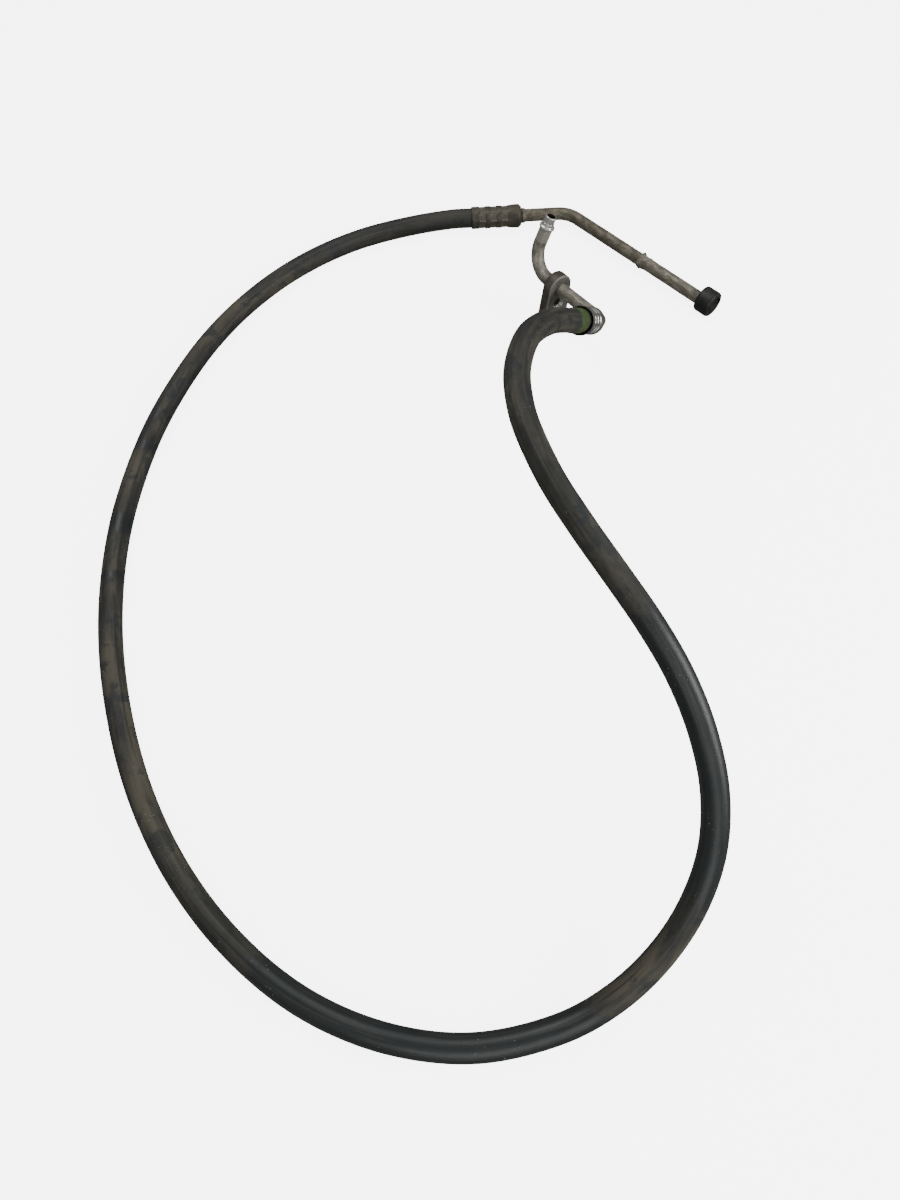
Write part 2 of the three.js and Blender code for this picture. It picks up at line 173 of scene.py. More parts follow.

# %% [markdown]
# A Catmull-Rom curve passes through every point of its chain, so it suits points that were given one by
# one. Spacing it by the square root of the distances keeps it from looping where points are close. The
# curve is then cut into even steps, because rings of equal spacing give even faces.
# The imported solid follows the same curve.

# %% Smooth line through points
def knot_gap(a, b):
    """Centripetal spacing between two points: the square root of their distance."""
    return max(1e-6, math.sqrt((b - a).length))


def smooth_line(points, per_span=40):
    """A centripetal Catmull-Rom curve through the points, as a fine polyline."""
    ends = [points[0] * 2 - points[1]] + list(points) + [points[-1] * 2 - points[-2]]
    line = []
    for i in range(1, len(ends) - 2):
        p0, p1, p2, p3 = ends[i - 1:i + 3]
        g0, g1, g2 = knot_gap(p0, p1), knot_gap(p1, p2), knot_gap(p2, p3)
        m1 = ((p1 - p0) / g0 - (p2 - p0) / (g0 + g1) + (p2 - p1) / g1) * g1
        m2 = ((p2 - p1) / g1 - (p3 - p1) / (g1 + g2) + (p3 - p2) / g2) * g1
        for k in range(per_span):
            t = k / per_span
            of_p1 = 2 * t ** 3 - 3 * t ** 2 + 1
            of_m1 = t ** 3 - 2 * t ** 2 + t
            of_p2 = 3 * t ** 2 - 2 * t ** 3
            of_m2 = t ** 3 - t ** 2
            line.append(p1 * of_p1 + m1 * of_m1 + p2 * of_p2 + m2 * of_m2)
    line.append(points[-1].copy())
    return line


def even_line(line, step):
    """The same line with evenly spaced points."""
    lengths = [0.0]
    for a, b in zip(line, line[1:]):
        lengths.append(lengths[-1] + (b - a).length)
    count = max(2, round(lengths[-1] / step))
    out = []
    j = 0
    for i in range(count + 1):
        want = lengths[-1] * i / count
        while j < len(line) - 2 and lengths[j + 1] < want:
            j += 1
        span = lengths[j + 1] - lengths[j]
        out.append(line[j].lerp(line[j + 1], (want - lengths[j]) / span if span else 0.0))
    return out


def line_length(line):
    return sum((b - a).length for a, b in zip(line, line[1:]))


# %% [markdown]
# The hose leaves each ferrule straight for a little way, because the ferrule holds it, and its
# ends are pushed some way inside.

# %% Centre line of the hose
STRAIGHT_A = 0.008
STRAIGHT_B = 0.022
LEAD = 0.014
HOSE_INSIDE = 0.028
HOSE_STEP = 0.004

hose_end_a = MOUTH_A - AXIS_A * STRAIGHT_A
hose_end_b = MOUTH_B - AXIS_B * STRAIGHT_B
hose_knots = [hose_end_a, hose_end_a - AXIS_A * LEAD]
hose_knots += [Vector(p) + SHIFT for p in ROUTE]
hose_knots += [hose_end_b - AXIS_B * LEAD, hose_end_b]
hose_start = MOUTH_A + AXIS_A * HOSE_INSIDE
hose_finish = MOUTH_B + AXIS_B * HOSE_INSIDE
hose_line = [hose_start] + smooth_line(hose_knots) + [hose_finish]
hose_path = even_line(hose_line, HOSE_STEP)
hose_length = line_length(hose_path)
print("hose centre line", len(hose_path), "rings,", round(hose_length, 3), "m")

# %% [markdown]
# Every piece is built from its own list of points and faces. Each point also keeps its place on the
# straightened piece in an attribute called skin, so a finish can run along the piece however it bends. A
# second attribute marks the press jaws' pockets: the finish shows it as wear on ferrule A and as a painted
# highlight on ferrule B. Faces are shaded smooth, and only the edges that turn sharply stay crisp.

# %% Objects from points
SHARP_ANGLE = math.radians(38.0)


def finish_mesh(name, verts, faces, skin, wear_and_highlight=None):
    """Makes the object, gives it its attributes and smooths all but its sharp edges."""
    mesh = bpy.data.meshes.new(name)
    mesh.from_pydata(verts, [], faces)
    places = mesh.attributes.new("skin", "FLOAT_VECTOR", "POINT")
    places.data.foreach_set("vector", [x for v in skin for x in v])
    if wear_and_highlight:
        worn_and_highlit = mesh.attributes.new("wear_and_highlight", "FLOAT", "POINT")
        worn_and_highlit.data.foreach_set("value", wear_and_highlight)
    mesh.shade_smooth()
    mesh.set_sharp_from_angle(angle=SHARP_ANGLE)
    mesh.update()
    obj = bpy.data.objects.new(name, mesh)
    scene.collection.objects.link(obj)
    return obj


def square_to(axis):
    """A direction at right angles to the axis, and level unless the axis is upright."""
    up = Vector((0, 0, 1)) if abs(axis.z) < 0.9 else Vector((0, 1, 0))
    return up.cross(axis).normalized()


def stacked_faces(rings, sides):
    """The faces between rings of points, and one face over each end."""
    faces = []
    for i in range(rings - 1):
        for k in range(sides):
            n = (k + 1) % sides
            faces.append((i * sides + k, i * sides + n, (i + 1) * sides + n, (i + 1) * sides + k))
    faces.append(tuple(reversed(range(sides))))
    faces.append(tuple(range((rings - 1) * sides, rings * sides)))
    return faces


# %% [markdown]
# The hose and the pipes are tubes: rings of points carried along a line without twisting. Each
# ring's radius comes from a function of the distance along and the angle round, so a bead, a
# knob or a slight unevenness is real shape and not only shading.

# %% Tubes
def carried_frames(line):
    """The tangent and two square directions at each point of a line, carried with no twist."""
    frames = []
    side = None
    for i, p in enumerate(line):
        before = line[max(0, i - 1)]
        after = line[min(len(line) - 1, i + 1)]
        tangent = unit(before, after)
        if side is None:
            side = square_to(tangent)
        side = (side - tangent * side.dot(tangent)).normalized()
        frames.append((p, tangent, side, tangent.cross(side)))
    return frames


def tube(name, line, sides, radius):
    """A closed tube whose radius(distance, angle) is in metres."""
    verts, skin = [], []
    distance = 0.0
    frames = carried_frames(line)
    for i, (p, tangent, side, up) in enumerate(frames):
        if i:
            distance += (p - frames[i - 1][0]).length
        for k in range(sides):
            angle = TURN * k / sides
            r = radius(distance, angle)
            verts.append(p + side * (r * math.cos(angle)) + up * (r * math.sin(angle)))
            skin.append((r * math.cos(angle), r * math.sin(angle), distance))
    return finish_mesh(name, verts, stacked_faces(len(frames), sides), skin)


# %% [markdown]
# The ferrules, the cap and the spigot are turned: one closed profile goes round an axis, as on a
# lathe. Cutting each corner of the profile a little gives every edge the thin highlight that real
# edges have. A relief function can press dents into the turned shape.

# %% Turned pieces
CUT_LIMIT = 0.45


def softened(profile, bevel):
    """The closed profile with each corner cut into a small three-point round."""
    out = []
    count = len(profile)
    for i, (r, y) in enumerate(profile):
        if r == 0:
            out.append((r, y))
            continue
        here = Vector((r, y))
        before = Vector(profile[i - 1]) - here
        after = Vector(profile[(i + 1) % count]) - here
        cut = min(bevel, before.length * CUT_LIMIT, after.length * CUT_LIMIT)
        a = here + before.normalized() * cut
        b = here + after.normalized() * cut
        middle = (a + b) / 4 + here / 2
        out += [tuple(a), tuple(middle), tuple(b)]
    return out


def turned(name, profile, origin, axis, sides=96, bevel=0.25, relief=None):
    """Turns a closed profile of (radius, height) in millimetres about an axis from the origin.
    relief(radius, height, angle) gives the radius where a tool has dented the piece, and a mark from 0 to 1
    there, which the finish shows as wear and, on ferrule B, as a painted highlight."""
    points = softened(profile, bevel)
    side = square_to(axis)
    other = axis.cross(side)
    verts, faces, skin, wear_and_highlight, rings = [], [], [], [], []
    for r, y in points:
        if r == 0:
            rings.append([len(verts)])
            verts.append(origin + axis * (y * MM))
            skin.append((0.0, 0.0, y * MM))
            wear_and_highlight.append(0.0)
            continue
        ring = []
        for k in range(sides):
            angle = TURN * k / sides
            here, worn_and_highlit = relief(r, y, angle) if relief else (r, 0.0)
            here *= MM
            wear_and_highlight.append(worn_and_highlit)
            ring.append(len(verts))
            flat = side * (here * math.cos(angle)) + other * (here * math.sin(angle))
            verts.append(origin + axis * (y * MM) + flat)
            skin.append((here * math.cos(angle), here * math.sin(angle), y * MM))
        rings.append(ring)
    for a, b in zip(rings, rings[1:] + rings[:1]):
        for k in range(sides):
            n = (k + 1) % sides
            if len(a) == 1 and len(b) == 1:
                break
            if len(a) == 1:
                faces.append((a[0], b[n], b[k]))
            elif len(b) == 1:
                faces.append((a[k], a[n], b[0]))
            else:
                faces.append((a[k], a[n], b[n], b[k]))
    return finish_mesh(name, verts, faces, skin, wear_and_highlight if relief else None)


# %% [markdown]
# The hose is one tube along its centre line. Old rubber is never quite even, so its radius wanders by about
# a tenth of a millimetre. It is the only piece that bends when the part is handled.

# %% Hose
HOSE_DIAMETER = 0.024
HOSE_SIDES = 40
UNEVENNESS = 0.00012
UNEVEN_PER_METRE = 18.0


def hose_radius(distance, angle):
    """The hose is slightly uneven, as old rubber is."""
    round_the_hose = Vector((math.cos(angle), math.sin(angle), distance * UNEVEN_PER_METRE))
    return HOSE_DIAMETER / 2 + UNEVENNESS * noise.noise(round_the_hose)


hose = tube("hose_rubber", hose_path, HOSE_SIDES, hose_radius)
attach(hose, "root")
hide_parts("hose")
tuple(MOUTH_A + AXIS_A * HOSE_INSIDE)
print("hose mesh", len(hose.data.polygons), "faces")

# %% [markdown]
# A ferrule is a pressed aluminium cup. The hose end goes in at its mouth, and a press with eight jaws has
# squeezed it at three places, so each place has a ring of small flat pockets. The cup is turned from one
# profile, and a relief function lays the pockets into it and marks where they are, for wear on ferrule A
# and a painted highlight on ferrule B. Sizes here are in millimetres, and POCKET is the half width of a
# pocket as a share of the way from one jaw to the next.

# %% Pockets of the crimps
CRIMP_PLACES = (14.0, 28.5, 43.0)
CRIMP_HALF = 3.5
CRIMP_MARGIN = 0.2
JAWS = 8
POCKET = 0.36
POCKET_EDGE = 0.06
RIDGE_DROP = 0.1
BORE_MARGIN = 0.3


def pressed(crimp, ridge, phase):
    """The relief of a ferrule: flat pockets of radius crimp between ridges."""

    def relief(r, y, angle):
        if r < crimp - BORE_MARGIN:
            return r, 0.0
        for middle in CRIMP_PLACES:
            if abs(y - middle) <= CRIMP_HALF + CRIMP_MARGIN:
                turn = ((angle - phase) * JAWS / TURN) % 1.0 - 0.5
                inside = min(1.0, max(0.0, (POCKET + POCKET_EDGE - abs(turn)) / POCKET_EDGE))
                flat = crimp * math.cos(POCKET * TURN / JAWS) / math.cos(turn * TURN / JAWS)
                return inside * flat + (1 - inside) * (ridge - RIDGE_DROP), inside
        return r, 0.0

    return relief


print("pockets on each ferrule", JAWS * len(CRIMP_PLACES))

# %% [markdown]
# Both ferrules have the same length and back end, so one function makes them. Ferrule A is tight
# from its rim on, while ferrule B keeps a wide mouth. The profile runs up the outside from the
# rim, over the shoulder and the chamfer at the back, and down again inside.

# %% Ferrules
FERRULE_LENGTH = 65.0
CRIMP_SLOPE = 1.0
SHOULDER_STEP = 0.2
SHOULDER_FROM = 53.5
SHOULDER_TO = 56.0
CHAMFER_FROM = 61.8
CHAMFER_DROP = 2.9
BACK_WALL_FROM = 59.0
STEM_HOLE_RADIUS = 7.6
BORE_RADIUS = 12.2
MOUTH_DEPTH = 7.0


def make_ferrule(name, node, mouth, axis, radii, inner_mouth, phase):
    rim, crimp, ridge, tail = radii
    profile = [(inner_mouth, 0.5), (rim - 0.4, 0.0), (rim, 0.8)]
    for i, middle in enumerate(CRIMP_PLACES):
        before = rim if i == 0 else ridge
        profile += [
            (before, middle - CRIMP_HALF - CRIMP_SLOPE),
            (crimp, middle - CRIMP_HALF),
            (crimp, middle + CRIMP_HALF),
            (ridge, middle + CRIMP_HALF + CRIMP_SLOPE),
        ]
    profile += [
        (tail - SHOULDER_STEP, SHOULDER_FROM),
        (tail, SHOULDER_TO),
        (tail, CHAMFER_FROM),
        (tail - CHAMFER_DROP, FERRULE_LENGTH),
        (STEM_HOLE_RADIUS, FERRULE_LENGTH),
        (STEM_HOLE_RADIUS, BACK_WALL_FROM),
        (BORE_RADIUS, BACK_WALL_FROM),
        (BORE_RADIUS, MOUTH_DEPTH + 1.0),
        (inner_mouth, MOUTH_DEPTH),
    ]
    relief = pressed(crimp, ridge, phase)
    piece = turned(name, profile, mouth, axis, sides=128, bevel=0.5, relief=relief)
    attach(piece, "root")
    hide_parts(node)
    return piece


A_RADII = (13.7, 13.2, 13.7, 14.5)
A_INNER = 12.5
A_PHASE = math.radians(-14.5)
B_RADII = (15.2, 13.9, 14.5, 15.1)
B_INNER = 14.2
B_PHASE = 0.0
ferrule_a = make_ferrule("ferrule_a_crimped", "ferrule_a", MOUTH_A, AXIS_A, A_RADII, A_INNER, A_PHASE)
ferrule_b = make_ferrule("ferrule_b_crimped", "ferrule_b", MOUTH_B, AXIS_B, B_RADII, B_INNER, B_PHASE)
print("ferrule faces", len(ferrule_a.data.polygons))

# %% [markdown]
# The pipes are bent aluminium tube. Each line is built from straight runs and true arcs, as a
# pipe bender makes it. The stem's collar behind each ferrule is a swelling of the pipe, so it is
# part of the radius function, and a little noise keeps the metal from looking perfectly straight.

# %% Lines of the bent pipes
PIPE_RADIUS = 0.00795
PIPE_STEP = 0.0015
ARC_STEPS = 40
LUMPS_PER_METRE = 90.0


def bent_line(points, radii):
    """Straight runs joined by arcs of the given radii, as a fine polyline."""
    line = [points[0]]
    for before, corner, after, radius in zip(points, points[1:], points[2:], radii):
        incoming = unit(before, corner)
        outgoing = unit(corner, after)
        turn = incoming.angle(outgoing)
        start = corner - incoming * (radius * math.tan(turn / 2))
        inward = (outgoing - incoming * outgoing.dot(incoming)).normalized()
        centre = start + inward * radius
        for i in range(ARC_STEPS + 1):
            angle = turn * i / ARC_STEPS
            forward = incoming * (radius * math.sin(angle))
            line.append(centre - inward * (radius * math.cos(angle)) + forward)
    line.append(points[-1])
    return even_line(line, PIPE_STEP)


def lumps(distance, angle, size, scale):
    """Slight unevenness, from noise read on a cylinder of radius scale."""
    where = (math.cos(angle) * scale, math.sin(angle) * scale, distance * LUMPS_PER_METRE)
    return size * noise.noise(Vector(where))


COLLAR_START = 0.0003
COLLAR_END = 0.0048
COLLAR_RADIUS = 0.0093
COLLAR_ROUND = 0.0007


def with_collar(distance, radius):
    """Adds the stem's collar, whose edges are rounded over a short way."""
    into = min(distance - COLLAR_START, COLLAR_END - distance)
    if into <= 0:
        return radius
    share = min(1.0, into / COLLAR_ROUND)
    return radius + (COLLAR_RADIUS - radius) * math.sqrt(1 - (1 - share) ** 2)


# %% [markdown]
# Pipe A has one bend and leads to the joint with its straight end. It stops a third of a
# millimetre short, so that the two end faces don't lie in the same plane.

# %% Pipe A
PIPE_SIDES = 56
JOINT_FROM_CORNER = 0.122
SEAM = 0.0003
BEND_A = 0.032
LUMPS_A = 0.00006

base_a = MOUTH_A + AXIS_A * (FERRULE_LENGTH * MM)
JOINT_A = CORNER_A + RUN_A * JOINT_FROM_CORNER


def pipe_a_radius(distance, angle):
    return with_collar(distance, PIPE_RADIUS + lumps(distance, angle, LUMPS_A, 1.0))


line_a = bent_line([base_a, CORNER_A, JOINT_A - RUN_A * SEAM], [BEND_A])
pipe_a = tube("pipe_a_bent", line_a, PIPE_SIDES, pipe_a_radius)
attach(pipe_a, "root")
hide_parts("pipe_a")
print("pipe A", len(line_a), "rings")

# %% [markdown]
# The straight end is a second tube, brazed on in line with the first. The braze left a low ragged
# ring, two knobs on one side and a long run on the other. Each is a smooth hump added to the
# radius, so it catches the light as a real bead does.

# %% Straight end of pipe A with its braze bead
BEAD_PLACE = 0.0030
BEAD_WIDTH = 0.0020
BEAD_HEIGHT = 0.0007
KNOB_ANGLE = math.radians(45.0)
RUN_ANGLE = math.radians(225.0)
KNOB = {"place": 0.0012, "width": 0.0024, "facing": KNOB_ANGLE, "spread": 0.5, "height": 0.0021}
SECOND = {"place": 0.0130, "width": 0.0022, "facing": KNOB_ANGLE, "spread": 0.6, "height": 0.0006}
LONG_RUN = {"place": 0.0035, "width": 0.0055, "facing": RUN_ANGLE, "spread": 0.8, "height": 0.0011}
LUMPS_TAIL = 0.00018
TAIL_SIDES = 64
TAIL_STEP = 0.0007
TAIL_IN_CAP = 0.0135


def bump_at(distance, angle, place, width, facing, spread, height):
    """A smooth hump on a tube, at a distance along it and facing one way."""
    off = math.atan2(math.sin(angle - facing), math.cos(angle - facing))
    return height * math.exp(-((distance - place) / width) ** 2 - (off / spread) ** 2)


def pipe_tail_radius(distance, angle):
    """A low ragged ring, with its knobs on one side and a long run on the other."""
    ragged = 1.0 + 0.6 * noise.noise(Vector((math.cos(angle) * 2.2, math.sin(angle) * 2.2, 4.0)))
    bead = BEAD_HEIGHT * ragged * math.exp(-((distance - BEAD_PLACE) / BEAD_WIDTH) ** 2)
    knob = bump_at(distance, angle, **KNOB)
    second = bump_at(distance, angle, **SECOND)
    run = bump_at(distance, angle, **LONG_RUN)
    return PIPE_RADIUS + bead + knob + second + run + lumps(distance, angle, LUMPS_TAIL, 1.6)


tail_end = RUN_A_END - RUN_A * (CAP_LENGTH - TAIL_IN_CAP)
tail_line = even_line([JOINT_A, tail_end], TAIL_STEP)
pipe_a_tail = tube("pipe_a_straight", tail_line, TAIL_SIDES, pipe_tail_radius)
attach(pipe_a_tail, "root")
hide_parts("pipe_a_tail")
print("straight end of pipe A", len(tail_line), "rings")

# %% [markdown]
# Pipe B runs down out of ferrule B, bends into a nearly level run that carries the plate, and
# bends up again to the spigot. It is one tube on one bent line.

# %% Pipe B with its two bends
FITTING_LENGTH = 15.0
BENDS_B = [0.030, 0.028]
LUMPS_B = 0.00007

base_b = MOUTH_B + AXIS_B * (FERRULE_LENGTH * MM)
fitting_foot = TIP_B - TIP_AXIS * (FITTING_LENGTH * MM)


def pipe_b_radius(distance, angle):
    return with_collar(distance, PIPE_RADIUS + lumps(distance, angle, LUMPS_B, 1.0))


line_b = bent_line([base_b, CORNER_B1, CORNER_B2, fitting_foot - TIP_AXIS * SEAM], BENDS_B)
pipe_b = tube("pipe_b_bent", line_b, PIPE_SIDES, pipe_b_radius)
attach(pipe_b, "root")
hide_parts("pipe_b")
print("pipe B", len(line_b), "rings")

# %% [markdown]
# The end cap is moulded in black plastic: a short drum with soft edges, a groove sunk into its end
# and a raised ring inside the groove. It is turned from one profile.

# %% End cap
cap_profile = [
    (0, 14.0), (11.2, 14.0), (11.2, 0.3), (12.6, 0.0), (14.8, 0.6), (16.0, 2.4), (16.0, 17.4), (15.3, 19.4),
    (13.4, 20.5), (10.8, 20.5), (10.3, 17.8), (7.6, 17.8), (7.2, 20.2), (5.4, 20.2), (5.0, 18.6), (0, 18.6),
]
end_cap = turned("end_cap_moulded", cap_profile, CAP_END - RUN_A * CAP_LENGTH, RUN_A, bevel=0.8)
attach(end_cap, "root")
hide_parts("end_cap")
print("cap faces", len(end_cap.data.polygons))

# %% [markdown]
# The marker sleeve is a thin green band on the hose near ferrule B. It is slipped over the hose,
# so it follows the hose's own centre line, and its cut ends curl in and are a little frayed.

# %% Marker sleeve
SLEEVE_FROM_MOUTH = 0.010
SLEEVE_LENGTH = 0.030
SLEEVE_RADIUS = 0.01265
SLEEVE_SIDES = 64
SLEEVE_STEP = 0.001
FRAYED_BY = 0.0005
CURL_DROP = 0.0008
CURL_LENGTH = 0.0006


def nearest_ring(point):
    return min(range(len(hose_path)), key=lambda i: (hose_path[i] - point).length)


first = nearest_ring(MOUTH_B - AXIS_B * SLEEVE_FROM_MOUTH)
last = nearest_ring(MOUTH_B - AXIS_B * (SLEEVE_FROM_MOUTH + SLEEVE_LENGTH))
sleeve_line = even_line(hose_path[last:first + 1], SLEEVE_STEP)


def sleeve_radius(distance, angle):
    """The sleeve's cut ends are a little frayed and turned in."""
    rest = len(sleeve_line) * SLEEVE_STEP - distance
    frayed = FRAYED_BY * noise.noise(Vector((math.cos(angle) * 3.0, math.sin(angle) * 3.0, 2.0)))
    near_end = min(distance, rest) + frayed
    return SLEEVE_RADIUS - CURL_DROP * math.exp(-max(0.0, near_end) / CURL_LENGTH)


marker_sleeve = tube("marker_sleeve_green", sleeve_line, SLEEVE_SIDES, sleeve_radius)
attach(marker_sleeve, "root")
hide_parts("marker_sleeve")
print("sleeve", len(sleeve_line), "rings")

# %% [markdown]
# The spigot was turned on a lathe, so it is one profile: a thin collar, a short neck, the groove
# for its seal ring and the nose, all round one bore.

# %% Turned spigot
fitting_profile = [
    (5.2, 0.0), (8.8, 0.0), (9.3, 0.6), (9.3, 2.4), (8.7, 3.0), (7.8, 3.0), (7.2, 3.7),
    (7.2, 6.5), (5.8, 6.5), (5.8, 8.6), (6.5, 8.6), (6.5, 14.3), (5.9, 15.0), (5.2, 15.0),
]
end_fitting = turned("end_fitting_turned", fitting_profile, fitting_foot, TIP_AXIS, bevel=0.2)
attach(end_fitting, "root")
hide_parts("end_fitting")
print("spigot faces", len(end_fitting.data.polygons))

# %% [markdown]
# The flange plate is a thick casting that pipe B passes through. Its front looks back along the
# pipe towards the ferrule, and it is rolled a little about the pipe. Its outline is a round lobe
# at the pipe, sides that widen slightly and a straight foot with round corners, in millimetres.

# %% Outline of the flange plate
PLATE_FROM_CORNER = 0.0579
PLATE_FRONT = unit(CORNER_B2, CORNER_B1)
PLATE_ROLL = math.radians(9.0)
LOBE_RADIUS = 16.6
LOBE_STEPS = 40
SIDE_TAPER = math.radians(2.5)
FOOT_BELOW_PIPE = 49.0
FOOT_CORNER = 6.0
CORNER_STEPS = 8

plate_origin = CORNER_B2 + PLATE_FRONT * PLATE_FROM_CORNER
upright = (Vector((0, 0, 1)) - PLATE_FRONT * PLATE_FRONT.z).normalized()
sideways = upright.cross(PLATE_FRONT)
plate_up = upright * math.cos(PLATE_ROLL) + sideways * math.sin(PLATE_ROLL)
plate_side = plate_up.cross(PLATE_FRONT)


def plate_outline(inset):
    """The outline of the plate, drawn in by inset, as (x, y) pairs."""
    taper = SIDE_TAPER
    lobe = LOBE_RADIUS - inset
    corner = FOOT_CORNER - inset * 0.5
    foot = inset - FOOT_BELOW_PIPE
    corner_y = foot + corner
    corner_x = lobe * math.cos(taper) + (lobe * math.sin(taper) - corner_y) * math.tan(taper)
    out = []
    for i in range(LOBE_STEPS + 1):
        angle = taper + (math.pi - 2 * taper) * i / LOBE_STEPS
        out.append((lobe * math.cos(angle), lobe * math.sin(angle)))
    for sign, start in ((-1, math.pi), (1, math.pi * 1.5)):
        for i in range(CORNER_STEPS + 1):
            angle = start + math.pi / 2 * i / CORNER_STEPS
            x = sign * (corner_x - corner) + corner * math.cos(angle)
            out.append((x, corner_y + corner * math.sin(angle)))
    return out


print("plate outline", len(plate_outline(0.0)), "points")

# %% [markdown]
# The body of the plate is a stack of that outline, drawn in a little towards both faces, which
# rounds the back edge and gives the front edge a small chamfer.

# %% Body of the flange plate
PLATE_THICKNESS = 14.4
BACK_ROUND = 1.8
BACK_STEPS = 6
FRONT_CHAMFER = [(-1.9, 0.0), (-1.6, 0.1), (-0.1, 1.6), (0.0, 1.9)]


def plate_layers():
    """Depth and inset of each outline from the back face to the front face."""
    layers = []
    for i in range(BACK_STEPS + 1):
        angle = math.pi / 2 * i / BACK_STEPS
        depth = -PLATE_THICKNESS + BACK_ROUND * (1 - math.cos(angle))
        layers.append((depth, BACK_ROUND * (1 - math.sin(angle))))
    return layers + FRONT_CHAMFER


def make_plate_body():
    verts, skin = [], []
    layers = plate_layers()
    for depth, inset in layers:
        for x, y in plate_outline(inset):
            at = plate_side * (x * MM) + plate_up * (y * MM) + PLATE_FRONT * (depth * MM)
            verts.append(plate_origin + at)
            skin.append((x * MM, y * MM, depth * MM))
    faces = stacked_faces(len(layers), len(plate_outline(0.0)))
    return finish_mesh("flange_plate_cast", verts, faces, skin)


flange_plate = make_plate_body()
print("plate body", len(flange_plate.data.polygons), "faces")

# %% [markdown]
# Drilling is a Boolean modifier with a turned cutter: a stepped hole for the pipe, and a bolt hole
# below it whose mouth is countersunk. The Boolean mixes the cutter's own skin places into the
# plate's, so they are worked out again from where the points are.

# %% Holes of the flange plate
BOLT_BELOW_PIPE = 19.6
CUTTER_SIDES = 72
PIPE_HOLE = [
    (0, -20.0), (9.0, -20.0), (9.0, -13.8), (8.2, -13.2), (8.2, -0.6), (8.8, 0.0), (8.8, 3.0), (0, 3.0),
]
BOLT_HOLE = [(0, -20.0), (5.0, -20.0), (5.0, -3.2), (8.2, 0.0), (9.7, 1.5), (0, 1.5)]


def drill(body, profile, x, y):
    """Cuts a turned shape out of the plate at (x, y) on its front face."""
    centre = plate_origin + plate_side * (x * MM) + plate_up * (y * MM)
    cutter = turned("cutter", profile, centre, PLATE_FRONT, sides=CUTTER_SIDES, bevel=0.0)
    cut = body.modifiers.new("cut", "BOOLEAN")
    cut.operation = "DIFFERENCE"
    cut.solver = "EXACT"
    cut.object = cutter
    graph = bpy.context.evaluated_depsgraph_get()
    mesh = bpy.data.meshes.new_from_object(body.evaluated_get(graph))
    body.modifiers.clear()
    body.data = mesh
    bpy.data.objects.remove(cutter)


drill(flange_plate, PIPE_HOLE, 0.0, 0.0)
drill(flange_plate, BOLT_HOLE, 0.0, -BOLT_BELOW_PIPE)
for point, vertex in zip(flange_plate.data.attributes["skin"].data, flange_plate.data.vertices):
    offset = vertex.co - plate_origin
    point.vector = (offset.dot(plate_side), offset.dot(plate_up), offset.dot(PLATE_FRONT))
flange_plate.data.shade_smooth()
flange_plate.data.set_sharp_from_angle(angle=SHARP_ANGLE)
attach(flange_plate, "root")
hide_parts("flange_plate")
print("plate with its holes", len(flange_plate.data.polygons), "faces")

# %% [markdown]
# Finishes are built from nodes. Writing shader maths as plain expressions keeps them readable, so
# one small class wraps a socket and adds a Math node for each operator that is used on it.

# %% Shader maths as expressions
class Level:
    """A number that varies over a surface."""

    def __init__(self, finish, socket):
        self.finish = finish
        self.socket = socket

    def maths(self, operation, *values):
        node = self.finish.node("ShaderNodeMath", {"operation": operation}, dict(enumerate(values)))
        return Level(self.finish, node.outputs[0])

    def __add__(self, other):
        return self.maths("ADD", self, other)

    def __radd__(self, other):
        return self.maths("ADD", other, self)

    def __sub__(self, other):
        return self.maths("SUBTRACT", self, other)

    def __rsub__(self, other):
        return self.maths("SUBTRACT", other, self)

    def __mul__(self, other):
        return self.maths("MULTIPLY", self, other)

    def __rmul__(self, other):
        return self.maths("MULTIPLY", other, self)

    def step(self, low, high):
        """0 below low, 1 above high, and smooth between."""
        settings = {"interpolation_type": "SMOOTHSTEP"}
        inputs = {"Value": self, "From Min": low, "From Max": high}
        node = self.finish.node("ShaderNodeMapRange", settings, inputs)
        return Level(self.finish, node.outputs[0])


# %% [markdown]
# A finish is one material. One method adds any node and fills its sockets, and the others are
# short names for what the finishes need most: a place on the skin, a noise, a few dots, a mix of
# two colours and a bump.

